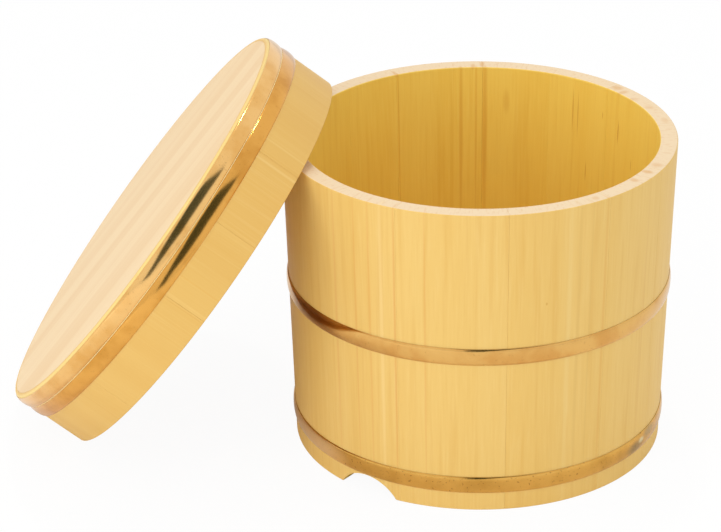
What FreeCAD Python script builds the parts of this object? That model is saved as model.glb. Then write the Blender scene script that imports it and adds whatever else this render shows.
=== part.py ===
import FreeCAD, Part
import os
from math import pi

import Sketcher

# Coopered wooden rice container: a tapered tub of staves held by two copper hoops, and its cap lid,
# a low ring of staves round a flush top board, held by two more hoops. The lid is off: its mouth
# leans on the tub's rim and its lower edge is on the floor. The origin is on the tub's axis, at the foot.

os.makedirs("parts", exist_ok=True)
doc = FreeCAD.newDocument("RiceContainer")

# Driving sizes in millimetres and degrees
sizes = [
    ("tub_height", 175, "tub, foot to rim"),
    ("rim_radius", 107, "tub, outside of the rim"),
    ("foot_radius", 101.4, "tub, outside of the foot"),
    ("tub_wall", 9.6, "thickness of a tub stave"),
    ("blank_spare", 3, "trimmed off each end of a stave's blank"),
    ("blank_spare_angle", 5, "planed off each side of a stave's blank, in degrees"),
    ("notch_width", 36.5, "arched notch, across its foot"),
    ("notch_height", 10.3, "arched notch, foot to crown"),
    ("notch_post", 2.3, "wood left on each side of a notch in its stave"),
    ("tub_first_seam_angle", -135, "direction of the first seam, from +X"),
    ("tub_board_lift", 14, "floor to the underside of the bottom board"),
    ("tub_board_thickness", 12, "bottom board"),
    ("croze_depth", 3, "groove in the staves that holds the bottom board"),
    ("board_play", 0.1, "gap at the edge and over the top of a board in its seat"),
    ("low_hoop_height", 10.8, "floor to the lower edge of the low hoop"),
    ("mid_hoop_height", 88.1, "floor to the lower edge of the middle hoop"),
    ("tub_hoop_width", 9.6, "copper band of the tub"),
    ("tub_hoop_play", 0.15, "room for the staves' flatter backs under the tub's bands"),
    ("hoop_thickness", 1, "copper band, at its middle"),
    ("hoop_bevel", 1.6, "width of the slope at each edge of a band"),
    ("lid_height", 43.6, "lid, mouth to top"),
    ("lid_wall", 7.5, "thickness of a lid stave"),
    ("lid_play", 5.5, "gap round the tub's rim when the lid is on"),
    ("lid_shoulder", 1.2, "chamfer of the lid's upper outside edge"),
    ("lid_board_thickness", 11, "top board of the lid"),
    ("rebate_depth", 4.7, "step in the lid staves that the top board sits in"),
    ("lid_first_seam_angle", -78, "direction of the lid's first seam, from the lean's uphill side"),
    ("lid_hoop_height", 25.1, "mouth to the lower edge of the first lid hoop"),
    ("lid_hoop_width", 8.2, "copper band of the lid"),
    ("lid_hoop_gap", 0.2, "gap between the two lid hoops"),
    ("lid_lean", 36.9, "angle between the lid's top board and a plumb line"),
    ("lean_gap", 0.1, "clearance where the lid's mouth touches the tub's rim"),
    ("tub_plank_width", 66, "middle plank of the bottom board"),
    ("lid_plank_width", 76, "middle plank of the top board"),
    ("peg_side", 3, "bamboo peg, across its square section"),
    ("peg_length", 24, "bamboo peg"),
    ("peg_play", 0.1, "gap round a peg in its hole"),
    ("peg_spacing", 60, "board pegs, from the middle of the joint"),
    ("lower_peg_height", 48, "lower row of pegs between the tub staves"),
    ("upper_peg_height", 138, "upper row of pegs between the tub staves"),
    ("lid_peg_height", 15, "row of pegs between the lid staves"),
]

# Plain staves of the tub, going round from the first notched one to the second and back again
near_widths = [60, 58, 45, 63, 65]
far_widths = [43, 56, 37, 45, 47, 34, 32]
lid_widths = [46, 46, 66, 70, 61, 68, 60, 72, 63, 67, 58, 68]


def width_cells(prefix, widths):
    """One named size for each stave's share of the way round."""
    return [(f"{prefix}_width_{i}", width, "share of the ring") for i, width in enumerate(widths, 1)]


near_cells = width_cells("near_stave", near_widths)
far_cells = width_cells("far_stave", far_widths)
lid_cells = width_cells("lid_stave", lid_widths)

sheet = doc.addObject("Spreadsheet::Sheet", "Sizes")
for row, (alias, value, note) in enumerate(sizes + near_cells + far_cells + lid_cells, 1):
    sheet.set(f"A{row}", note)
    sheet.set(f"B{row}", str(value))
    sheet.setAlias(f"B{row}", alias)
doc.recompute()


# Sizes worked out from the driving ones, as expressions
def tub_outer(height):
    """Outside radius of the tub at a height."""
    return f"(Sizes.foot_radius + (Sizes.rim_radius - Sizes.foot_radius) * ({height}) / Sizes.tub_height)"


def tub_inner(height):
    """Inside radius of the tub at a height."""
    return f"({tub_outer(height)} - Sizes.tub_wall / cos({tub_slope}))"


def tub_seat(height):
    """Inside radius of the tub's bands at a height."""
    return f"({tub_outer(height)} + Sizes.tub_hoop_play)"


def lid_seat(height):
    """Inside radius of the lid's bands, the same at every height."""
    return lid_outer


tub_slope = "atan((Sizes.rim_radius - Sizes.foot_radius) / Sizes.tub_height)"
stave_curve = "((Sizes.foot_radius + Sizes.rim_radius) / 2)"
lid_inner = "(Sizes.rim_radius + Sizes.lid_play)"
lid_outer = f"({lid_inner} + Sizes.lid_wall)"
croze_radius = f"({tub_inner('Sizes.tub_board_lift')} + Sizes.croze_depth)"
croze_top = "(Sizes.tub_board_lift + Sizes.tub_board_thickness + Sizes.board_play)"
rebate_radius = f"({lid_inner} + Sizes.rebate_depth)"
rebate_floor = "(Sizes.lid_height - Sizes.lid_board_thickness)"
hole_side = "(Sizes.peg_side + 2 * Sizes.peg_play)"
hole_depth = "(Sizes.peg_length / 2 + Sizes.peg_play)"

# The lid's seat. Its mouth is a circle in a leaning plane that stands on the floor, and the tub's rim
# bulges into it: the two circles touch where the leaning plane crosses the height of the rim. On a
# wide or low tub the rim would reach the lid's board first, so the further of the two places holds.
mouth_height = f"{lid_outer} * cos(Sizes.lid_lean)"
rim_above_mouth = f"(Sizes.tub_height - {mouth_height})"
touch_reach = f"min({rim_above_mouth} / cos(Sizes.lid_lean); {lid_outer})"
touch_radius = tub_outer(f"{mouth_height} + {touch_reach} * cos(Sizes.lid_lean)")
touch_half_width_squared = f"max({lid_inner} ^ 2 - ({touch_reach}) ^ 2; 0)"
touch_distance = (
    f"sqrt(({touch_radius}) ^ 2 - {touch_half_width_squared}) "
    f"+ {touch_reach} * sin(Sizes.lid_lean) + Sizes.lean_gap"
)
lid_depth = "(Sizes.lid_height - Sizes.lid_board_thickness)"
board_distance = (
    f"Sizes.rim_radius + ({rim_above_mouth} * sin(Sizes.lid_lean) - {lid_depth} + Sizes.lean_gap) "
    "/ cos(Sizes.lid_lean)"
)
mouth_distance = f"max({touch_distance}; {board_distance})"
lid_pose = (
    f"placement(vector(-({mouth_distance}); 0; {mouth_height}); "
    "rotation(vector(0; 1; 0); Sizes.lid_lean - 90))"
)
tub_pose = "placement(vector(0; 0; 0); rotation(vector(0; 0; 1); 0))"


def number(expression):
    """An expression's present value as a plain number."""
    value = sheet.evalExpression(expression)
    return float(getattr(value, "Value", value))


# Sketches and features
def add_body(label, pose):
    body = doc.addObject("PartDesign::Body", label)
    body.Label = label
    body.setExpression("Placement", pose)
    return body


def add_sketch(body, name, role, offset):
    """A sketch on one of the body's origin planes, moved or turned by an offset."""
    sketch = body.newObject("Sketcher::SketchObject", f"{body.Name}_{name}")
    plane = [feature for feature in body.Origin.OriginFeatures if feature.Role == role]
    sketch.AttachmentSupport = (plane[0], [""])
    sketch.MapMode = "FlatFace"
    sketch.setExpression("AttachmentOffset", offset)
    return sketch


def turned(angle):
    """Offset that turns an upright plane about the vertical axis."""
    return f"placement(vector(0; 0; 0); rotation(vector(0; 1; 0); {angle}))"


def shifted(distance):
    """Offset along a plane's normal."""
    return f"placement(vector(0; 0; {distance}); rotation(vector(0; 0; 1); 0))"


def hold(sketch, kind, geometry, end, expression):
    """Fixes one coordinate of a point of the sketch by an expression."""
    index = sketch.addConstraint(
        Sketcher.Constraint(kind, -1, 1, geometry, end, number(expression))
    )
    sketch.setExpression(f"Constraints[{index}]", expression)


def add_outline(sketch, corners):
    """A closed outline of straight sides through corners given as pairs of expressions."""
    points = [FreeCAD.Vector(number(x), number(y), 0) for x, y in corners]
    first = sketch.GeometryCount
    count = len(points)
    for i, point in enumerate(points):
        sketch.addGeometry(Part.LineSegment(point, points[(i + 1) % count]), False)
    for i, (x, y) in enumerate(corners):
        following = first + (i + 1) % count
        sketch.addConstraint(Sketcher.Constraint("Coincident", first + i, 2, following, 1))
        hold(sketch, "DistanceX", first + i, 1, x)
        hold(sketch, "DistanceY", first + i, 1, y)


def add_square(sketch, x, y, side):
    """A square outline about its centre."""
    low_x, high_x = f"{x} - {side} / 2", f"{x} + {side} / 2"
    low_y, high_y = f"{y} - {side} / 2", f"{y} + {side} / 2"
    add_outline(sketch, [(low_x, low_y), (high_x, low_y), (high_x, high_y), (low_x, high_y)])


def revolve(body, sketch, sweep):
    feature = body.newObject("PartDesign::Revolution", f"{body.Name}_turn")
    feature.Profile = sketch
    feature.ReferenceAxis = (sketch, ["V_Axis"])
    feature.setExpression("Angle", sweep)
    return feature


def cut(body, name, sketch, depth=None, backwards=False):
    """A pocket of a stated depth, or right through in both directions."""
    feature = body.newObject("PartDesign::Pocket", f"{body.Name}_{name}")
    feature.Profile = sketch
    if depth is None:
        feature.Type = "ThroughAll"
        feature.Midplane = True
    else:
        feature.setExpression("Length", depth)
        feature.Reversed = backwards
    return feature


# Rings of staves
def ring_seams(first_seam, sweeps):
    """The direction of each stave's first seam and its sweep."""
    start = f"{first_seam} * 1 deg"
    seams = []
    for sweep in sweeps:
        seams.append((start, sweep))
        start = f"{start} + {sweep}"
    return seams


def cut_peg_holes(body, seam, peg_seats):
    """Blind square holes into both seams of a stave."""
    start, sweep = seam
    for name, angle, backwards in (("near_pegs", start, False), ("far_pegs", f"{start} + {sweep}", True)):
        sketch = add_sketch(body, name, "XZ_Plane", turned(angle))
        for radius, height in peg_seats:
            add_square(sketch, radius, height, hole_side)
        cut(body, f"{name}_holes", sketch, hole_depth, backwards)


def add_arch(sketch, centre_x, outer, inner, half):
    """Outline of a curved board: two arcs about one centre, closed by a line at each end."""
    middle = FreeCAD.Vector(number(centre_x), 0, 0)
    up = FreeCAD.Vector(0, 0, 1)
    reach = number(f"{half} / 1 deg") * pi / 180
    for radius in (outer, inner):
        circle = Part.Circle(middle, up, number(radius))
        arc = sketch.addGeometry(Part.ArcOfCircle(circle, -reach, reach), False)
        hold(sketch, "DistanceX", arc, 3, centre_x)
        sketch.addConstraint(Sketcher.Constraint("PointOnObject", arc, 3, -1))
        size = sketch.addConstraint(Sketcher.Constraint("Radius", arc, number(radius)))
        sketch.setExpression(f"Constraints[{size}]", radius)
        hold(sketch, "DistanceY", arc, 1, f"-({radius}) * sin({half})")
        hold(sketch, "DistanceY", arc, 2, f"({radius}) * sin({half})")
    for end in (1, 2):
        near, far = [sketch.Geometry[arc].StartPoint if end == 1 else sketch.Geometry[arc].EndPoint
                     for arc in (0, 1)]
        side = sketch.addGeometry(Part.LineSegment(near, far), False)
        sketch.addConstraint(Sketcher.Constraint("Coincident", side, 1, 0, end))
        sketch.addConstraint(Sketcher.Constraint("Coincident", side, 2, 1, end))


def make_tub_stave(label, seam, pose):
    """A stave as a cooper makes it: a board planed to one round, set to the tub's slope, trimmed level
    at both ends, jointed on both sides towards the tub's axis, and grooved for the bottom board."""
    start, sweep = seam
    middle, half = f"({start} + ({sweep}) / 2)", f"(({sweep}) / 2)"
    body = add_body(label, pose)
    facing = f"placement(vector(0; 0; 0); rotation(vector(0; 0; 1); {middle}))"
    lean = (
        f"{facing} * "
        f"placement(vector(Sizes.foot_radius; 0; 0); rotation(vector(0; 1; 0); {tub_slope})) * "
        + shifted("-Sizes.blank_spare")
    )
    board = add_sketch(body, "board", "XY_Plane", lean)
    spare_half = f"({half} + Sizes.blank_spare_angle * 1 deg)"
    add_arch(board, f"-{stave_curve}", stave_curve, f"({stave_curve} - Sizes.tub_wall)", spare_half)
    pad = body.newObject("PartDesign::Pad", f"{label}_blank")
    pad.Profile = board
    pad.setExpression("Length", f"Sizes.tub_height / cos({tub_slope}) + 2 * Sizes.blank_spare")

    ends = add_sketch(body, "ends", "XZ_Plane", turned(middle))
    inside, outside = f"({stave_curve} * 0.5)", f"({stave_curve} * 1.5)"
    for low, high in (
        ("-2 * Sizes.blank_spare", "0"),
        ("Sizes.tub_height", "Sizes.tub_height + 2 * Sizes.blank_spare"),
    ):
        add_outline(ends, [(inside, low), (outside, low), (outside, high), (inside, high)])
    cut(body, "trimmed_ends", ends)

    sides = add_sketch(body, "sides", "XY_Plane", facing)
    for sign in ("-", ""):
        corners = [
            (f"{radius} * cos({angle})", f"{sign}{radius} * sin({angle})")
            for radius, angle in (
                (inside, half),
                (outside, half),
                (outside, f"({half} + 45 deg)"),
                (inside, f"({half} + 45 deg)"),
            )
        ]
        add_outline(sides, corners)
    cut(body, "jointed_sides", sides)

    croze = add_sketch(body, "croze", "XZ_Plane", turned(middle))
    low = "Sizes.tub_board_lift"
    add_outline(croze, [(inside, low), (croze_radius, low), (croze_radius, croze_top), (inside, croze_top)])
    groove = body.newObject("PartDesign::Groove", f"{label}_croze_groove")
    groove.Profile = croze
    groove.ReferenceAxis = (croze, ["V_Axis"])
    groove.Angle = 360
    cut_peg_holes(body, seam, tub_peg_seats)
    return body


def make_lid_stave(label, seam, pose):
    """A lid stave is its cross-section turned through its share of the ring."""
    start, sweep = seam
    body = add_body(label, pose)
    profile = add_sketch(body, "section", "XZ_Plane", turned(start))
    add_outline(profile, lid_section)
    revolve(body, profile, sweep)
    cut_peg_holes(body, seam, lid_peg_seats)
    return body


def cut_notch(body, seam):
    """The arched notch in the middle of a stave's foot."""
    start, sweep = seam
    radius = "((Sizes.notch_width / 2) ^ 2 + Sizes.notch_height ^ 2) / (2 * Sizes.notch_height)"
    centre = f"Sizes.notch_height - {radius}"
    sketch = add_sketch(body, "arch", "XZ_Plane", turned(f"{start} + ({sweep}) / 2 + 90 deg"))
    middle = FreeCAD.Vector(0, number(centre), 0)
    circle = sketch.addGeometry(Part.Circle(middle, FreeCAD.Vector(0, 0, 1), number(radius)), False)
    sketch.addConstraint(Sketcher.Constraint("PointOnObject", circle, 3, -2))
    hold(sketch, "DistanceY", circle, 3, centre)
    size = sketch.addConstraint(Sketcher.Constraint("Radius", circle, number(radius)))
    sketch.setExpression(f"Constraints[{size}]", radius)
    cut(body, "notch", sketch)


lid_section = [
    (lid_outer, "0"),
    (lid_outer, "Sizes.lid_height - Sizes.lid_shoulder"),
    (f"{lid_outer} - Sizes.lid_shoulder", "Sizes.lid_height"),
    (rebate_radius, "Sizes.lid_height"),
    (rebate_radius, rebate_floor),
    (lid_inner, rebate_floor),
    (lid_inner, "0"),
]
tub_peg_seats = [
    (f"({tub_outer(height)} - Sizes.tub_wall / 2)", height)
    for height in ("Sizes.lower_peg_height", "Sizes.upper_peg_height")
]
lid_peg_seats = [(f"({lid_inner} + Sizes.lid_wall / 2)", "Sizes.lid_peg_height")]

# The two notched staves face each other; plain ones share each half of the circle between them
notched_sweep = "(2 * asin((Sizes.notch_width / 2 + Sizes.notch_post) / Sizes.foot_radius))"


def shares(cells, whole):
    total = " + ".join(f"Sizes.{alias}" for alias, _, _ in cells)
    return [f"({whole} * Sizes.{alias} / ({total}))" for alias, _, _ in cells]


plain_half = f"(180 deg - {notched_sweep})"
near_sweeps = shares(near_cells, plain_half)
far_sweeps = shares(far_cells, plain_half)
tub_sweeps = [notched_sweep, *near_sweeps, notched_sweep, *far_sweeps]
tub_seams = ring_seams("Sizes.tub_first_seam_angle", tub_sweeps)
lid_seams = ring_seams("Sizes.lid_first_seam_angle", shares(lid_cells, "360 deg"))

nodes = []
for i, seam in enumerate(tub_seams, 1):
    stave = make_tub_stave(f"tub_stave_{i:02d}", seam, tub_pose)
    if seam[1] == notched_sweep:
        cut_notch(stave, seam)
    nodes.append(stave)
for i, seam in enumerate(lid_seams, 1):
    nodes.append(make_lid_stave(f"lid_stave_{i:02d}", seam, lid_pose))
doc.recompute()


# Boards of three planks, joined edge to edge along the grain
def make_plank(label, radius, low, thickness, south, north, pose):
    """A slice of a round board, from the joint at y = south to the one at y = north. None is the rim."""
    body = add_body(label, pose)
    disc = add_sketch(body, "disc", "XY_Plane", shifted(low))
    centre = FreeCAD.Vector(0, 0, 0)
    circle = disc.addGeometry(Part.Circle(centre, FreeCAD.Vector(0, 0, 1), number(radius)), False)
    disc.addConstraint(Sketcher.Constraint("Coincident", circle, 3, -1, 1))
    size = disc.addConstraint(Sketcher.Constraint("Radius", circle, number(radius)))
    disc.setExpression(f"Constraints[{size}]", radius)
    pad = body.newObject("PartDesign::Pad", f"{label}_pad")
    pad.Profile = disc
    pad.setExpression("Length", thickness)
    beyond = f"2 * {radius}"
    for name, joint, side in (("south", south, -1), ("north", north, 1)):
        if joint is None:
            continue
        waste = add_sketch(body, f"{name}_waste", "XY_Plane", shifted(low))
        near, far = (joint, beyond) if side > 0 else (f"-{beyond}", joint)
        add_outline(waste, [(f"-{beyond}", near), (beyond, near), (beyond, far), (f"-{beyond}", far)])
        cut(body, f"{name}_joint", waste)
        holes = add_sketch(body, f"{name}_pegs", "XZ_Plane", shifted(f"-({joint})"))
        for x in ("-Sizes.peg_spacing", "Sizes.peg_spacing"):
            add_square(holes, x, f"({low} + {thickness} / 2)", hole_side)
        cut(body, f"{name}_peg_holes", holes, hole_depth, side > 0)
    return body


def make_board(prefix, radius, low, thickness, plank_width, pose):
    """Three planks side by side. Returns them with the places of their two joints."""
    south, north = f"-{plank_width} / 2", f"{plank_width} / 2"
    slices = [(None, south), (south, north), (north, None)]
    planks = [
        make_plank(f"{prefix}_plank_{i}", radius, low, thickness, *joints, pose)
        for i, joints in enumerate(slices, 1)
    ]
    return planks, [south, north]


tub_board_radius = f"({croze_radius} - Sizes.board_play)"
lid_board_radius = f"({rebate_radius} - Sizes.board_play)"
tub_planks, tub_joints = make_board(
    "tub_board",
    tub_board_radius,
    "Sizes.tub_board_lift",
    "Sizes.tub_board_thickness",
    "Sizes.tub_plank_width",
    tub_pose,
)
lid_planks, lid_joints = make_board(
    "lid_board",
    lid_board_radius,
    rebate_floor,
    "Sizes.lid_board_thickness",
    "Sizes.lid_plank_width",
    lid_pose,
)
nodes += tub_planks + lid_planks


# Copper hoops: bands with sloped edges that lie on the taper of the staves
def make_hoop(label, seat, low, width, pose):
    body = add_body(label, pose)
    sketch = add_sketch(body, "section", "XZ_Plane", shifted("0"))
    high = f"({low} + {width})"
    lower_bevel, upper_bevel = f"({low} + Sizes.hoop_bevel)", f"({high} - Sizes.hoop_bevel)"
    corners = [
        (seat(low), low),
        (f"{seat(lower_bevel)} + Sizes.hoop_thickness", lower_bevel),
        (f"{seat(upper_bevel)} + Sizes.hoop_thickness", upper_bevel),
        (seat(high), high),
    ]
    add_outline(sketch, corners)
    revolve(body, sketch, "360 deg")
    return body


second_lid_hoop = "(Sizes.lid_hoop_height + Sizes.lid_hoop_width + Sizes.lid_hoop_gap)"
hoops = [
    ("tub_hoop_low", tub_seat, "Sizes.low_hoop_height", "Sizes.tub_hoop_width", tub_pose),
    ("tub_hoop_middle", tub_seat, "Sizes.mid_hoop_height", "Sizes.tub_hoop_width", tub_pose),
    ("lid_hoop_lower", lid_seat, "Sizes.lid_hoop_height", "Sizes.lid_hoop_width", lid_pose),
    ("lid_hoop_upper", lid_seat, second_lid_hoop, "Sizes.lid_hoop_width", lid_pose),
]
nodes += [make_hoop(*hoop) for hoop in hoops]


# Bamboo pegs, hidden across the seams of the staves and the joints of the planks
def add_peg(name, centre, angle, pose):
    """A square peg with its length across a seam at the given angle and its centre in that seam."""
    peg = doc.addObject("Part::Box", name)
    peg.setExpression("Length", "Sizes.peg_side")
    peg.setExpression("Width", "Sizes.peg_length")
    peg.setExpression("Height", "Sizes.peg_side")
    x, y, z = centre
    corner = f"vector({x} - Sizes.peg_side / 2; {y} - Sizes.peg_length / 2; {z} - Sizes.peg_side / 2)"
    turn = f"placement(vector(0; 0; 0); rotation(vector(0; 0; 1); {angle}))"
    seat = f"placement({corner}; rotation(vector(0; 0; 1); 0))"
    peg.setExpression("Placement", f"{pose} * {turn} * {seat}")
    return peg


def group_pegs(label, seats, pose):
    """All pegs of one kind in one node."""
    pegs = [add_peg(f"{label}_{i}", centre, angle, pose) for i, (centre, angle) in enumerate(seats, 1)]
    group = doc.addObject("Part::Compound", label)
    group.Label = label
    group.Links = pegs
    return group


def seam_seats(seams, peg_seats):
    return [((radius, "0", height), start) for start, _ in seams for radius, height in peg_seats]


def joint_seats(joints, low, thickness):
    middle = f"({low} + {thickness} / 2)"
    sides = ("-Sizes.peg_spacing", "Sizes.peg_spacing")
    return [((x, joint, middle), "0 deg") for joint in joints for x in sides]


tub_board_seats = joint_seats(tub_joints, "Sizes.tub_board_lift", "Sizes.tub_board_thickness")
lid_board_seats = joint_seats(lid_joints, rebate_floor, "Sizes.lid_board_thickness")
nodes += [
    group_pegs("tub_stave_pegs", seam_seats(tub_seams, tub_peg_seats), tub_pose),
    group_pegs("lid_stave_pegs", seam_seats(lid_seams, lid_peg_seats), lid_pose),
    group_pegs("tub_board_pegs", tub_board_seats, tub_pose),
    group_pegs("lid_board_pegs", lid_board_seats, lid_pose),
]
doc.recompute()

# Checks, then one STEP file for each piece
for thing in doc.Objects:
    if "Invalid" in thing.State or "Error" in thing.State:
        raise RuntimeError(f"{thing.Name} failed: {thing.State}")
for node in nodes:
    if node.Shape.isNull() or not node.Shape.isValid() or not node.Shape.Solids:
        raise RuntimeError(f"{node.Label} has no valid solid")
for node in nodes:
    node.Shape.exportStep(f"parts/{node.Label}.step")
print(f"{len(nodes)} pieces, {sum(len(node.Shape.Solids) for node in nodes)} solids")
print("mouth of the lid at", round(-number(mouth_distance), 2), round(number(mouth_height), 2))
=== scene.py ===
import bpy
from math import asin, cos, degrees, pi, radians, sin
from mathutils import Matrix, Quaternion, Vector


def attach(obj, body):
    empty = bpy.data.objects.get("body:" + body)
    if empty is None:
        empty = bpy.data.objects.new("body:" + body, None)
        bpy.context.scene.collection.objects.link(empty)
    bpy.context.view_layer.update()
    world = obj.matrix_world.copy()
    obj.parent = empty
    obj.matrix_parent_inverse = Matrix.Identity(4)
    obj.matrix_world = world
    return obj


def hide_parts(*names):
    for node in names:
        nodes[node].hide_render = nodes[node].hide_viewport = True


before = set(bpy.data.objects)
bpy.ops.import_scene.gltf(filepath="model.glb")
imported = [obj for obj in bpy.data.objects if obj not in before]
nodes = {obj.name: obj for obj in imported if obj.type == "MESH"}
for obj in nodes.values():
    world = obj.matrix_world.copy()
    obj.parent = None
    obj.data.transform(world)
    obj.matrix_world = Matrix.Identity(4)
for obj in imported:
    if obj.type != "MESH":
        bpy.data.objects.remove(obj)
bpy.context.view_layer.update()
print("frame loaded:", len(nodes), "nodes")

# Sizes of the tub and the lid, in metres and degrees
tub = {
    "height": 0.175,
    "rim": 0.107,            # outside radius at the rim
    "foot": 0.1014,          # outside radius at the foot
    "wall": 0.0096,
    "boardLow": 0.014,
    "boardHigh": 0.026,
    "croze": 0.0952,         # how far out the groove for the bottom board goes
    "rimRound": 0.0008,
    "footRound": 0.0006,
    "notchWidth": 0.0365,
    "notchHeight": 0.0103,
    "notchPost": 0.0023,     # wood left beside the notch in its stave
    "cutterDepth": 0.05,
    "cutterCentre": 0.097,
    "cutterCorners": 128,
    "firstSeam": -135,
    "near": [60, 58, 45, 63, 65],
    "far": [43, 56, 37, 45, 47, 34, 32],
    "plank": 0.066,
    "boardPlay": 0.0001,
}
lid = {
    "height": 0.0436,
    "inner": 0.1125,
    "outer": 0.120,
    "shoulder": 0.002,
    "mouthRound": 0.0005,
    "boardLow": 0.0326,
    "rebate": 0.1172,
    "firstSeam": -78,
    "shares": [46, 46, 66, 70, 61, 68, 60, 72, 63, 67, 58, 68],
    "plank": 0.076,
    "boardPlay": 0.00002,
    "lean": 36.9,
    "mouth": (-0.15197, 0, 0.09596),
}
lidPlace = Matrix.Translation(lid["mouth"]) @ Matrix.Rotation(radians(lid["lean"] - 90), 4, "Y")
inside = 0.00003             # new pieces stay this much inside the solids
seamRound = 0.00015
plankRound = 0.00006
cornerReach = 0.001          # a point this near a corner's place is that corner
ringStep = 1.5               # degrees between two sections of a stave
boardCorners = 240
smoothAngle, bevelAngle, flatAngle = radians(35), radians(55), radians(1)


# Modelling steps
def startPiece():
    if bpy.context.object and bpy.context.object.mode != "OBJECT":
        bpy.ops.object.mode_set(mode="OBJECT")
    bpy.ops.object.select_all(action="DESELECT")


def namePiece(name):
    piece = bpy.context.object
    piece.name = piece.data.name = name
    return piece


def settle():
    if bpy.context.object.mode != "OBJECT":
        bpy.ops.object.mode_set(mode="OBJECT")
    bpy.ops.object.transform_apply(location=True, rotation=True, scale=True)


def pick(piece, kind, wanted):
    bpy.ops.object.mode_set(mode="EDIT")
    bpy.ops.mesh.select_mode(type=kind)
    bpy.ops.mesh.select_all(action="DESELECT")
    bpy.ops.object.mode_set(mode="OBJECT")
    mesh = piece.data
    for part in {"VERT": mesh.vertices, "FACE": mesh.polygons}[kind]:
        part.select = wanted(part)
    bpy.ops.object.mode_set(mode="EDIT")


def addSection(name, inner, outer, low, high):
    startPiece()
    bpy.ops.mesh.primitive_plane_add(size=1)
    piece = namePiece(name)
    piece.scale = (outer - inner, high - low, 1)
    piece.rotation_euler.x = pi / 2
    piece.location = ((inner + outer) / 2, 0, (low + high) / 2)
    settle()
    return piece


def cutStep(piece, cuts, waste):
    bpy.ops.object.mode_set(mode="EDIT")
    for point, normal in cuts:
        bpy.ops.mesh.select_all(action="SELECT")
        bpy.ops.mesh.bisect(plane_co=point, plane_no=normal)
    pick(piece, "FACE", waste)
    bpy.ops.mesh.delete(type="FACE")
    bpy.ops.mesh.select_all(action="SELECT")
    bpy.ops.mesh.dissolve_limited(angle_limit=flatAngle)


def roundCorners(piece, wanted, radius, segments):
    pick(piece, "VERT", wanted)
    bpy.ops.mesh.bevel(offset=radius, segments=segments, affect="VERTICES")


def spinSection(piece, start, sweep):
    bpy.ops.object.mode_set(mode="EDIT")
    bpy.ops.mesh.select_all(action="SELECT")
    steps = max(round(sweep / ringStep), 1)
    bpy.ops.mesh.spin(steps=steps, angle=radians(-sweep), center=(0, 0, 0), axis=(0, 0, 1))
    bpy.ops.mesh.select_all(action="SELECT")
    bpy.ops.mesh.normals_make_consistent(inside=False)
    bpy.ops.object.mode_set(mode="OBJECT")
    piece.rotation_euler.z = radians(start)
    settle()


def addModifier(piece, kind, **values):
    modifier = piece.modifiers.new(kind.title(), kind)
    for key, value in values.items():
        setattr(modifier, key, value)
    bpy.context.view_layer.objects.active = piece
    bpy.ops.object.modifier_apply(modifier=modifier.name)


def finishPiece(piece, edge):
    addModifier(
        piece, "BEVEL", width=edge, segments=2, limit_method="ANGLE", angle_limit=bevelAngle
    )
    piece.select_set(True)
    bpy.ops.object.shade_smooth_by_angle(angle=smoothAngle)
    addModifier(piece, "WEIGHTED_NORMAL", keep_sharp=True)


def ringSeams(first, shares, whole):
    seams = []
    for share in shares:
        sweep = whole * share / sum(shares)
        seams.append((first, sweep))
        first += sweep
    return seams


# Tub staves: where each one starts, and its sweep; the two notched ones come first on each half
notched = 2 * degrees(asin((tub["notchWidth"] / 2 + tub["notchPost"]) / tub["foot"]))
tubSeams = []
for shares in (tub["near"], tub["far"]):
    start = tub["firstSeam"] + (0 if shares is tub["near"] else 180)
    tubSeams.append((start, notched))
    tubSeams += ringSeams(start + notched, shares, 180 - notched)


def addTubStave(name, start, sweep):
    outer = tub["foot"] - inside
    piece = addSection(name, outer - tub["wall"], outer, 0, tub["height"])
    pick(piece, "VERT", lambda v: v.co.z > tub["height"] / 2)
    bpy.ops.transform.translate(value=(tub["rim"] - tub["foot"], 0, 0))
    low, high = tub["boardLow"], tub["boardHigh"] + tub["boardPlay"]
    cuts = [((0, 0, low), (0, 0, 1)), ((0, 0, high), (0, 0, 1)), ((tub["croze"], 0, 0), (1, 0, 0))]
    cutStep(piece, cuts, lambda f: low < f.center.z < high and f.center.x < tub["croze"])
    roundCorners(piece, lambda v: v.co.z > tub["height"] - cornerReach, tub["rimRound"], 4)
    roundCorners(piece, lambda v: v.co.z < cornerReach, tub["footRound"], 3)
    spinSection(piece, start, sweep)
    return piece


def cutNotch(piece, direction):
    rise, half = tub["notchHeight"], tub["notchWidth"] / 2
    radius = (half ** 2 + rise ** 2) / (2 * rise)
    out = Vector((cos(radians(direction)), sin(radians(direction)), 0))
    startPiece()
    bpy.ops.mesh.primitive_cylinder_add(
        vertices=tub["cutterCorners"], radius=radius, depth=tub["cutterDepth"],
        location=out * tub["cutterCentre"] + Vector((0, 0, rise - radius)),
        rotation=(pi / 2, 0, radians(direction) + pi / 2),
    )
    cutter = namePiece("notchCutter")
    startPiece()
    addModifier(piece, "BOOLEAN", operation="DIFFERENCE", object=cutter, solver="EXACT")
    bpy.data.objects.remove(cutter)


tubStaves = []
for i, (start, sweep) in enumerate(tubSeams, 1):
    piece = addTubStave(f"tubStave{i:02d}", start, sweep)
    if sweep == notched:
        cutNotch(piece, start + sweep / 2)
    finishPiece(piece, seamRound)
    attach(piece, "root")
    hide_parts(f"tub_stave_{i:02d}")
    tubStaves.append((piece, start, sweep))
print("tub staves:", len(tubStaves))


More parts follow.
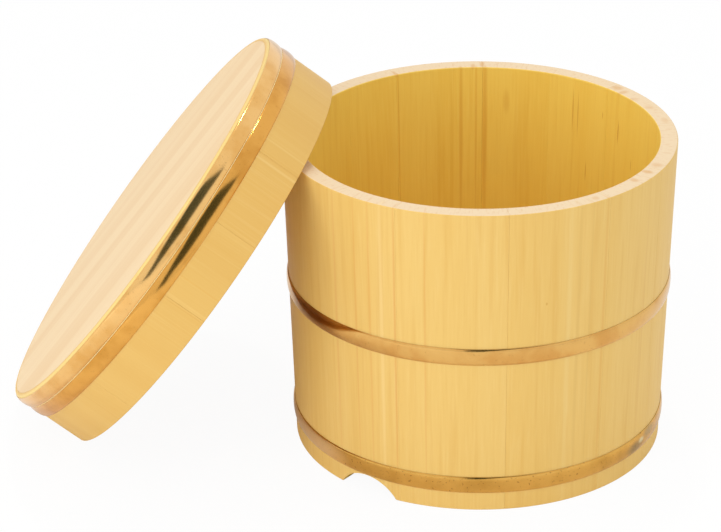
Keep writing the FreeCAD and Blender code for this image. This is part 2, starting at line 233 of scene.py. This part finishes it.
# Lid staves
def addLidStave(name, start, sweep):
    piece = addSection(name, lid["inner"], lid["outer"] - inside, 0, lid["height"] - inside)
    seat, rebate = lid["boardLow"], lid["rebate"]
    cuts = [((0, 0, seat), (0, 0, 1)), ((rebate, 0, 0), (1, 0, 0))]
    cutStep(piece, cuts, lambda f: f.center.z > seat and f.center.x < rebate)
    top, edge = lid["height"] - cornerReach, lid["outer"] - cornerReach
    roundCorners(piece, lambda v: v.co.z > top and v.co.x > edge, lid["shoulder"], 6)
    roundCorners(piece, lambda v: v.co.z < cornerReach, lid["mouthRound"], 3)
    spinSection(piece, start, sweep)
    return piece


def placeOnLid(piece):
    piece.matrix_world = lidPlace
    startPiece()
    piece.select_set(True)
    bpy.context.view_layer.objects.active = piece
    settle()


lidStaves = []
for i, (start, sweep) in enumerate(ringSeams(lid["firstSeam"], lid["shares"], 360), 1):
    piece = addLidStave(f"lidStave{i:02d}", start, sweep)
    finishPiece(piece, seamRound)
    placeOnLid(piece)
    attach(piece, "root")
    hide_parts(f"lid_stave_{i:02d}")
    lidStaves.append((piece, start, sweep))
print("lid staves:", len(lidStaves))


# Boards
def addPlank(name, radius, low, high, south, north):
    startPiece()
    bpy.ops.mesh.primitive_cylinder_add(
        vertices=boardCorners, radius=radius, depth=high - low, location=(0, 0, (low + high) / 2)
    )
    piece = namePiece(name)
    settle()
    bpy.ops.object.mode_set(mode="EDIT")
    for joint, side in ((south, 1), (north, -1)):
        if joint is None:
            continue
        bpy.ops.mesh.select_all(action="SELECT")
        bpy.ops.mesh.bisect(
            plane_co=(0, joint, 0), plane_no=(0, side, 0), clear_inner=True, use_fill=True
        )
    bpy.ops.object.mode_set(mode="OBJECT")
    finishPiece(piece, plankRound)
    return piece


# Name, node, radius, underside, top, plank's width and slot of each board
boards = [
    (
        "tubBoard", "tub_board_plank", tub["croze"] - tub["boardPlay"],
        tub["boardLow"], tub["boardHigh"], tub["plank"], "tub_board_wood",
    ),
    (
        "lidBoard", "lid_board_plank", lid["rebate"] - lid["boardPlay"],
        lid["boardLow"], lid["height"] - inside, lid["plank"], "lid_board_wood",
    ),
]
planks = []
for name, node, radius, low, high, width, slot in boards:
    slices = [(None, -width / 2), (-width / 2, width / 2), (width / 2, None)]
    for i, (south, north) in enumerate(slices, 1):
        piece = addPlank(f"{name}{i}", radius, low, high, south, north)
        if name == "lidBoard":
            placeOnLid(piece)
        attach(piece, "root")
        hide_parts(f"{node}_{i}")
        planks.append(piece)
print("planks:", len(planks))

# Copper bands: piece, node, lower edge, width, radius at the ring's foot, slope and place
band = {
    "thick": 0.00096,
    "corners": 48,
    "step": 1.0,
    "proud": 0.00015,        # the tub's bands stand this much off the staves
    "weld": 0.00001,
    "smooth": 40,
}
taper = (tub["rim"] - tub["foot"]) / tub["height"]
tubRadius = tub["foot"] + band["proud"]
bands = [
    ("tubBandLow", "tub_hoop_low", 0.0108, 0.0096, tubRadius, taper, None),
    ("tubBandMiddle", "tub_hoop_middle", 0.0881, 0.0096, tubRadius, taper, None),
    ("lidBandLower", "lid_hoop_lower", 0.0251, 0.00845, lid["outer"], 0, lidPlace),
    ("lidBandUpper", "lid_hoop_upper", 0.0340, 0.0082, lid["outer"], 0, lidPlace),
]


def addBand(name, low, width, radius, slope):
    startPiece()
    bpy.ops.mesh.primitive_circle_add(vertices=band["corners"], radius=1, fill_type="NGON")
    piece = namePiece(name)
    piece.scale = (band["thick"], width / 2, 1)
    piece.rotation_euler.x = pi / 2
    settle()
    bpy.ops.object.mode_set(mode="EDIT")
    bpy.ops.mesh.select_all(action="SELECT")
    bpy.ops.mesh.bisect(plane_co=(0, 0, 0), plane_no=(1, 0, 0), clear_inner=True)
    bpy.ops.object.mode_set(mode="OBJECT")
    middle = low + width / 2
    piece.rotation_euler.y = slope
    piece.location = (radius + slope * middle, 0, middle)
    settle()
    bpy.ops.object.mode_set(mode="EDIT")
    bpy.ops.mesh.select_all(action="SELECT")
    bpy.ops.mesh.delete(type="ONLY_FACE")
    bpy.ops.mesh.select_all(action="SELECT")
    steps = round(360 / band["step"])
    bpy.ops.mesh.spin(steps=steps, angle=2 * pi, center=(0, 0, 0), axis=(0, 0, 1))
    bpy.ops.mesh.select_all(action="SELECT")
    bpy.ops.mesh.remove_doubles(threshold=band["weld"])
    bpy.ops.mesh.normals_make_consistent(inside=False)
    bpy.ops.object.mode_set(mode="OBJECT")
    return piece


bandPieces = []
for name, node, low, width, radius, slant, place in bands:
    piece = addBand(name, low, width, radius, slant)
    if place:
        placeOnLid(piece)
    startPiece()
    piece.select_set(True)
    bpy.context.view_layer.objects.active = piece
    bpy.ops.object.shade_smooth_by_angle(angle=radians(band["smooth"]))
    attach(piece, "root")
    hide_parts(node)
    bandPieces.append(piece)
print("bands:", len(bandPieces))


# Materials
def colour(hexCode):
    parts = [int(hexCode[i:i + 2], 16) / 255 for i in (0, 2, 4)]
    return (*[c / 12.92 if c <= 0.04045 else ((c + 0.055) / 1.055) ** 2.4 for c in parts], 1)


def addNode(tree, kind, feeds=None, **settings):
    made = tree.nodes.new(kind)
    for key, value in settings.items():
        setattr(made, key, value)
    for key, value in (feeds or {}).items():
        if isinstance(value, bpy.types.NodeSocket):
            tree.links.new(value, made.inputs[key])
        else:
            made.inputs[key].default_value = value
    return made


def doMath(tree, operation, *values):
    return addNode(tree, "ShaderNodeMath", dict(enumerate(values)), operation=operation).outputs[0]


def doVector(tree, operation, *values, output=0):
    made = addNode(tree, "ShaderNodeVectorMath", dict(enumerate(values)), operation=operation)
    return made.outputs[output]


def mixColours(tree, amount, first, second, blend="MIX"):
    feeds = {0: amount, 6: first, 7: second}
    return addNode(tree, "ShaderNodeMix", feeds, data_type="RGBA", blend_type=blend).outputs[2]


def spread(tree, value, low, high):
    feeds = {0: value, 1: low, 2: high}
    return addNode(tree, "ShaderNodeMapRange", feeds, interpolation_type="SMOOTHSTEP").outputs[0]


def noise(tree, vector, detail=2.0, rough=0.5):
    feeds = {"Vector": vector, "Scale": 1.0, "Detail": detail, "Roughness": rough}
    return addNode(tree, "ShaderNodeTexNoise", feeds).outputs[0]


def stretched(tree, vector, *scales):
    return doVector(tree, "MULTIPLY", vector, scales)


def blendBy(tree, tone, amount, strength, other):
    return mixColours(tree, doMath(tree, "MULTIPLY", amount, strength), tone, other)


def startMaterial(name):
    material = bpy.data.materials.new(name)
    material.use_nodes = True
    tree = material.node_tree
    return material, tree, tree.nodes["Principled BSDF"]


# A mark is full up to a quarter of its half sizes and fades out towards them
def addMark(tree, tone, spot, mark):
    centre, reach, strength, hexCode = mark
    gap = stretched(tree, doVector(tree, "SUBTRACT", spot, centre), *[1 / r for r in reach])
    near = spread(tree, doVector(tree, "LENGTH", gap, output="Value"), 1.0, 0.25)
    return blendBy(tree, tone, near, strength, colour(hexCode))


# Patterns of the grain: scales round, in and along the piece, detail and roughness
grains = {
    "wave": ((25, 25, 7), 2.0, 0.5),
    "broad": ((45, 45, 1.2), 1.0, 0.5),
    "medium": ((260, 260, 2), 2.0, 0.5),
    "fine": ((1000, 1000, 12), 3.0, 0.6),
    "rings": ((700, 200, 0), 2.0, 0.6),
}


def grainNoise(tree, vector, kind):
    scales, detail, rough = grains[kind]
    return noise(tree, stretched(tree, vector, *scales), detail, rough)


# Wood: the grain runs along each piece, and a curved piece is unrolled round its ring's axis
def woodMaterial(name, look, place, turn=0, curved=True, marks=()):
    material, tree, shader = startMaterial(name)
    toPiece = Matrix.Rotation(radians(-turn), 4, "Z") @ place.inverted()
    coordinates = addNode(tree, "ShaderNodeTexCoord").outputs
    feeds = {
        "Vector": coordinates["Object"],
        "Location": toPiece.to_translation(),
        "Rotation": toPiece.to_euler(),
    }
    where = addNode(tree, "ShaderNodeMapping", feeds).outputs[0]
    x, y, z = addNode(tree, "ShaderNodeSeparateXYZ", {0: where}).outputs
    if curved:
        around = doMath(tree, "MULTIPLY", doMath(tree, "ARCTAN2", y, x), look["radius"])
        flat = doVector(tree, "LENGTH", stretched(tree, where, 1, 1, 0), output="Value")
        spot = addNode(tree, "ShaderNodeCombineXYZ", {0: around, 1: flat, 2: z}).outputs[0]
    else:
        spot = addNode(tree, "ShaderNodeCombineXYZ", {0: y, 1: z, 2: x}).outputs[0]
    grain = doVector(tree, "ADD", spot, look["offset"])
    wave = doMath(tree, "SUBTRACT", grainNoise(tree, grain, "wave"), 0.5)
    wave = doMath(tree, "MULTIPLY", wave, look["wander"])
    aside = addNode(tree, "ShaderNodeCombineXYZ", {0: wave}).outputs[0]
    grain = doVector(tree, "ADD", grain, aside)
    fine = grainNoise(tree, grain, "fine")
    layers = [               # pattern, where it starts and is full, its strength and its colour
        (grainNoise(tree, grain, "broad"), 0.35, 0.68, "broad", "deep"),
        (grainNoise(tree, grain, "medium"), 0.5, 0.72, "medium", "line"),
        (fine, 0.5, 0.75, "fine", "line"),
        (fine, 0.5, 0.25, "fine", "pale"),
    ]
    tone = colour(look["base"])
    for pattern, low, high, strength, other in layers:
        amount = spread(tree, pattern, low, high)
        tone = blendBy(tree, tone, amount, look[strength], colour(look[other]))
    if curved:
        inner = spread(tree, flat, look["middle"] + look["fade"], look["middle"] - look["fade"])
        tone = mixColours(tree, inner, tone, (*look["inner"], 1), "MULTIPLY")
        up = place.to_3x3() @ Vector((0, 0, 1))
        facing = doVector(tree, "DOT_PRODUCT", coordinates["Normal"], up, output="Value")
        rings = spread(tree, grainNoise(tree, grain, "rings"), 0.5, 0.75)
        end = blendBy(tree, colour(look["end"]), rings, 0.5, colour(look["endLine"]))
        tone = mixColours(tree, spread(tree, facing, 0.7, 0.95), tone, end)
    # The marks are knots, streaks and rim patches in the wood, and on the lid also two rings of
    # painted highlight
    for mark in marks:
        tone = addMark(tree, tone, spot, mark)
    tree.links.new(tone, shader.inputs["Base Color"])
    shader.inputs["Roughness"].default_value = look["rough"]
    shader.inputs["Specular IOR Level"].default_value = look["shine"]
    feeds = {"Height": fine, "Strength": look["relief"], "Distance": look["depth"]}
    bump = addNode(tree, "ShaderNodeBump", feeds)
    tree.links.new(bump.outputs[0], shader.inputs["Normal"])
    return material


allRound = 400               # half size of a mark that goes round the whole ring
pastSeam = 2                 # degrees that a mark may lie outside a stave and still reach it
knot, honey, rust = "C98F35", "D9A23C", "D8A35E"

# Marks on a ring of staves: angle, radius and height of the centre, half sizes round, in and up in
# millimetres, strength and colour
tubMarks = [
    (59.2, 96, 156, 0.7, 6, 17, 0.55, knot),
    (57.2, 96, 154, 0.6, 6, 18, 0.5, knot),
    (46.8, 96, 158, 0.5, 6, 3, 0.6, knot),
    (39.1, 96, 152, 0.7, 6, 9, 0.8, knot),
    (53.2, 96, 121, 0.5, 6, 8, 0.6, knot),
    (31.0, 96, 137, 0.5, 6, 5, 0.6, knot),
    (83.2, 96, 155, 3, 6, 10, 0.35, honey),
    (98.5, 96, 140, 1.6, 6, 90, 0.45, honey),
    (93.4, 96, 140, 1.0, 6, 90, 0.4, honey),
    (90.5, 96, 140, 2.2, 6, 90, 0.5, honey),
    (120.5, 96, 140, 0.6, 6, 90, 0.5, honey),
    (43.4, 102, 175, 5, 4, 2, 0.55, rust),
    (39.5, 100, 175, 3, 5, 2, 0.5, rust),
    (33.0, 99, 175, 3, 4, 2, 0.35, rust),
    (25.0, 101, 175, 4, 4, 2, 0.3, rust),
    (14.0, 103, 175, 5, 3, 2, 0.3, rust),
    (-21.0, 102, 175, 4, 5, 2, 0.4, rust),
    (-27.0, 101, 175, 3, 5, 2, 0.6, rust),
    (-34.5, 101, 175, 3, 4, 2, 0.55, rust),
    (-52.0, 103, 175, 3, 3, 2, 0.4, rust),
    (91.5, 102, 175, 2, 6, 2, 0.6, rust),
    (94.5, 99, 175, 2, 5, 2, 0.5, rust),
    (121.0, 98, 175, 2, 7, 2, 0.5, rust),
    (-68.0, 105, 121.6, 0.7, 3, 1.2, 0.6, knot),
    (-133.4, 105, 90, 1.2, 9, 160, 0.35, "DDA052"),
    (-125.5, 105, 90, 0.8, 9, 160, 0.4, "DDA052"),
    (-120.5, 105, 90, 1.0, 9, 160, 0.35, "DDA052"),
    (-116.5, 105, 90, 1.6, 9, 160, 0.4, "F2D490"),
    (-112.2, 105, 90, 0.9, 9, 160, 0.5, "D99A4C"),
    (-103.0, 105, 90, 0.7, 9, 160, 0.35, "DDA052"),
    (-61.0, 105, 90, 2.0, 9, 160, 0.2, "EDD695"),
    (-58.0, 105, 90, 1.6, 9, 160, 0.35, "D8B060"),
    (-54.0, 105, 90, 0.8, 9, 160, 0.35, "D8B060"),
    (-49.0, 105, 90, 1.2, 9, 160, 0.45, "DDA852"),
    (-30.5, 105, 90, 1.0, 9, 160, 0.35, "DDAE62"),
]


def marksBetween(marks, start, sweep, radius):
    chosen = []
    for angle, across, height, *reach, strength, hexCode in marks:
        offset = (angle - start - sweep / 2 + 180) % 360 - 180
        if reach[0] == allRound:
            offset = 0
        if abs(offset) > sweep / 2 + pastSeam:
            continue
        centre = (radians(offset) * radius, across / 1000, height / 1000)
        chosen.append((centre, [r / 1000 for r in reach], strength, hexCode))
    return chosen


here = Matrix.Identity(4)
tubLook = {
    "radius": 0.104,
    "middle": 0.0995,        # between the inner and the outer face
    "fade": 0.001,           # half the way over which the inner tone starts
    "wander": 0.003,         # how far a line of grain strays
    "broad": 0.45,           # how strong each pattern is
    "medium": 0.3,
    "fine": 0.2,
    "rough": 0.5,
    "shine": 0.3,
    "relief": 0.08,
    "depth": 0.0002,
    "base": "E6C06F",        # colours of the long faces
    "deep": "E2B861",
    "line": "D9A850",
    "pale": "EFD18C",
    "inner": (1.14, 1.22, 0.77),
    "end": "EBD2AC",         # colours of the end grain
    "endLine": "DDB27C",
}
for i, (piece, start, sweep) in enumerate(tubStaves):
    look = dict(tubLook, offset=(i * 0.37, i * 0.11, i * 0.73))
    marks = marksBetween(tubMarks, start, sweep, look["radius"])
    piece.data.materials.append(
        woodMaterial(f"tubWood{i + 1:02d}", look, here, start + sweep / 2, marks=marks)
    )
print("tub wood:", len(tubStaves))

lidStreaksAndPaintedHighlights = [
    # The first two go round the whole ring as painted highlights, one in the gap between the bands
    # and one along the shoulder; the rest are streaks in the grain
    (0, 120, 33.8, allRound, 3, 0.6, 0.9, "FBE6A4"),
    (0, 120, 43.0, allRound, 3, 1.1, 0.6, "F5DC90"),
    (-78.6, 120, 12, 0.5, 3, 60, 0.3, "D39F48"),
    (-77.2, 120, 12, 1.1, 3, 60, 0.25, "EECB80"),
    (-71.7, 120, 12, 0.6, 3, 60, 0.4, "DDAA50"),
    (-35.2, 120, 12, 1.0, 3, 60, 0.3, "F0D28E"),
    (-33.8, 120, 12, 0.5, 3, 60, 0.3, "CF9A48"),
    (-29.0, 120, 12, 0.8, 3, 60, 0.2, "EFD089"),
]
lidLook = dict(
    tubLook, radius=0.119, middle=0.1163, medium=0.2, base="E0B665", deep="DBAD5A",
    end="E2B768", endLine="D9AA58", inner=(1, 1, 1),
)
for i, (piece, start, sweep) in enumerate(lidStaves):
    look = dict(lidLook, offset=(i * 0.41 + 3, i * 0.17, i * 0.53))
    marks = marksBetween(lidStreaksAndPaintedHighlights, start, sweep, look["radius"])
    piece.data.materials.append(
        woodMaterial(f"lidWood{i + 1:02d}", look, lidPlace, start + sweep / 2, marks=marks)
    )
print("lid wood:", len(lidStaves))

boardLook = dict(
    tubLook, broad=0.55, medium=0.4, fine=0.2,
    base="ECCFA1", deep="E3BD88", line="E4BF8A", pale="F5E1BF",
)
for i, piece in enumerate(planks):
    onLid = piece.name.startswith("lidBoard")
    look = dict(boardLook if onLid else tubLook, offset=(i * 0.31, i * 0.07, i * 0.43))
    place = lidPlace if onLid else here
    piece.data.materials.append(woodMaterial(f"boardWood{i + 1}", look, place, curved=False))
bambooLook = dict(tubLook, base="DDBE80", offset=(5, 5, 5))
for name, node in nodes.items():
    if name.endswith("_pegs"):
        material = woodMaterial(f"{name}Bamboo", bambooLook, here, curved=False)
        for slot in node.material_slots:
            slot.material = material


# Copper: scales of the clouds, specks and dents, and the depth of the dents
copperLook = {
    "rough": 0.16,
    "clouds": 45,
    "specks": 800,
    "speckColour": "8E5A2C",
    "dents": 28,
    "dentStrength": 0.4,
    "dentDepth": 0.002,
}


def copperMaterial(name, light, deep, speckled, marks):
    material, tree, shader = startMaterial(name)
    where = addNode(tree, "ShaderNodeTexCoord").outputs["Object"]
    clouds = noise(tree, stretched(tree, where, *[copperLook["clouds"]] * 3), 3.0, 0.6)
    tone = mixColours(tree, spread(tree, clouds, 0.4, 0.68), colour(light), colour(deep))
    specks = noise(tree, stretched(tree, where, *[copperLook["specks"]] * 3), 1.0)
    specks = spread(tree, specks, 0.67, 0.73)
    tone = blendBy(tree, tone, specks, speckled, colour(copperLook["speckColour"]))
    # On the tub's bands these marks are painted reflections and a painted glint
    for mark in marks:
        tone = addMark(tree, tone, where, mark)
    tree.links.new(tone, shader.inputs["Base Color"])
    shader.inputs["Metallic"].default_value = 1.0
    shader.inputs["Roughness"].default_value = copperLook["rough"]
    feeds = {
        "Height": noise(tree, stretched(tree, where, *[copperLook["dents"]] * 3), 1.5),
        "Strength": copperLook["dentStrength"],
        "Distance": copperLook["dentDepth"],
    }
    bump = addNode(tree, "ShaderNodeBump", feeds)
    tree.links.new(bump.outputs[0], shader.inputs["Normal"])
    return material


# Light and deep tone of each band, and how strong its specks are
copperTones = [
    ("DCAA56", "C99848", 0.7), ("E0B166", "D59F56", 0.25),
    # The lid's lower band is toned darker than its upper one as a painted darker reflection
    ("E2A752", "CF9240", 0.15), ("EFBF78", "E2AB5E", 0.15),
]
# Painted reflections and a painted glint on the tub's bands: centre and half sizes in metres,
# strength and colour
copperPaintedReflections = {
    # Painted dark reflection of the shaded lid and floor on the middle band's left part
    "tubBandMiddle": [((-0.09, -0.058, 0.0945), (0.031, 0.04, 0.0065), 0.8, "6E3B2E")],
    "tubBandLow": [
        # Low band: a pale painted reflection at its left end, dark grey painted reflections and a
        # painted glint at its right end
        ((-0.088, -0.055, 0.0155), (0.035, 0.04, 0.009), 0.7, "F8D6A2"),
        ((0.0883, -0.053, 0.0145), (0.009, 0.012, 0.005), 0.6, "6E6650"),
        ((0.0955, -0.0386, 0.018), (0.006, 0.012, 0.004), 0.5, "8A8468"),
        ((0.0914, -0.0476, 0.0165), (0.003, 0.0045, 0.0022), 0.6, "EDEBC0"),
    ],
}
for piece, (light, deep, speckled) in zip(bandPieces, copperTones):
    marks = copperPaintedReflections.get(piece.name, [])
    piece.data.materials.append(copperMaterial(f"{piece.name}Copper", light, deep, speckled, marks))
print("materials done")

# Floor
floorLook = {"size": 8, "colour": (0.95, 0.95, 0.95, 1), "rough": 0.9, "glow": 0.94}
startPiece()
bpy.ops.mesh.primitive_plane_add(size=floorLook["size"])
floor = namePiece("floor")
material, tree, shader = startMaterial("paleFloor")
shader.inputs["Base Color"].default_value = floorLook["colour"]
shader.inputs["Roughness"].default_value = floorLook["rough"]
shader.inputs["Specular IOR Level"].default_value = 0.0
glow = addNode(tree, "ShaderNodeEmission", {"Color": (1, 1, 1, 1), "Strength": 1.0})
rays = addNode(tree, "ShaderNodeLightPath")
seen = doMath(tree, "MULTIPLY", rays.outputs["Is Camera Ray"], floorLook["glow"])
blend = addNode(tree, "ShaderNodeMixShader", {0: seen, 1: shader.outputs[0], 2: glow.outputs[0]})
tree.links.new(blend.outputs[0], tree.nodes["Material Output"].inputs["Surface"])
floor.data.materials.append(material)

# Studio: white where the camera or a reflection sees it, a little less as light
studio = {"light": 0.8, "seenMore": 0.2}
world = bpy.data.worlds.new("studio")
bpy.context.scene.world = world
world.use_nodes = True
tree = world.node_tree
rays = addNode(tree, "ShaderNodeLightPath")
seen = doMath(tree, "MAXIMUM", rays.outputs["Is Camera Ray"], rays.outputs["Is Glossy Ray"])
more = doMath(tree, "MULTIPLY", seen, studio["seenMore"])
strength = doMath(tree, "ADD", studio["light"], more)
background = tree.nodes["Background"]
background.inputs["Color"].default_value = (1, 1, 1, 1)
tree.links.new(strength, background.inputs["Strength"])

# Lamps: name, place, size, power and whether the copper mirrors it
lamps = [
    ("key", (-1.2, -1.2, 0.65), 1.0, 7, False),
    ("fill", (1.4, -0.6, 1.0), 1.4, 1.8, False),
    ("high", (-0.35, -1.2, 1.5), 0.8, 4.5, False),
    ("top", (-0.05, 0.45, 1.7), 0.1, 3.5, True),
]
lampAim = Vector((-0.05, 0, 0.09))
for name, place, size, power, glossy in lamps:
    lamp = bpy.data.lights.new(name, "AREA")
    lamp.size = size
    lamp.energy = power
    holder = bpy.data.objects.new(name, lamp)
    holder.location = place
    holder.visible_glossy = glossy
    holder.rotation_euler = (lampAim - Vector(place)).to_track_quat("-Z", "Y").to_euler()
    bpy.context.scene.collection.objects.link(holder)

# A dark card in front and to the right that only reflections see; its outline is from its centre
card = {
    "place": Vector((0.13, -1.05, 0.74)),
    "aim": Vector((-0.2, 0, 0.1)),
    "glow": (0.085, 0.105, 0.095, 1),
    "outline": [
        (-0.90, -1.61), (-0.29, -1.10), (-0.05, -0.63), (0.18, -0.38), (0.39, -0.15), (0.60, 0.05),
        (0.85, 0.20), (1.04, 0.38), (0.97, 0.42), (0.48, 0.46), (-0.15, 0.69), (-0.41, 0.55),
        (-0.29, 0.02), (-0.28, -0.42), (-0.46, -0.91), (-0.96, -1.53),
    ],
}
startPiece()
bpy.ops.mesh.primitive_circle_add(vertices=len(card["outline"]), fill_type="NGON")
darkCard = namePiece("darkCard")
for corner, (across, up) in zip(darkCard.data.vertices, card["outline"]):
    corner.co = (across, up, 0)
darkCard.location = card["place"]
darkCard.rotation_euler = (card["aim"] - card["place"]).to_track_quat("-Z", "Y").to_euler()
settle()
material, tree, shader = startMaterial("cardBlack")
shader.inputs["Base Color"].default_value = (0.0, 0.0, 0.0, 1)
shader.inputs["Specular IOR Level"].default_value = 0.0
shader.inputs["Emission Color"].default_value = card["glow"]
shader.inputs["Emission Strength"].default_value = 1.0
darkCard.data.materials.append(material)
for ray in ("camera", "diffuse", "transmission", "shadow"):
    setattr(darkCard, f"visible_{ray}", False)
print("studio done")

# Camera at the photo's angle
view = {
    "lens": 159.8,
    "sensor": 36,
    "azimuth": 4.55,
    "elevation": 25.3,
    "distance": 1.76,
    "target": (-0.0646, -0.00514, 0.0970),
    "roll": -0.573,
}
camera = bpy.data.cameras.new("photoCamera")
camera.lens = view["lens"]
camera.sensor_width = view["sensor"]
cameraObject = bpy.data.objects.new("photoCamera", camera)
bpy.context.scene.collection.objects.link(cameraObject)
azimuth, elevation = radians(view["azimuth"]), radians(view["elevation"])
back = Vector((sin(azimuth) * cos(elevation), -cos(azimuth) * cos(elevation), sin(elevation)))
cameraObject.rotation_mode = "QUATERNION"
cameraObject.location = Vector(view["target"]) + back * view["distance"]
roll = Quaternion((0, 0, 1), radians(view["roll"]))
cameraObject.rotation_quaternion = (-back).to_track_quat("-Z", "Y") @ roll
bpy.context.scene.camera = cameraObject
bpy.context.scene.view_settings.view_transform = "Standard"
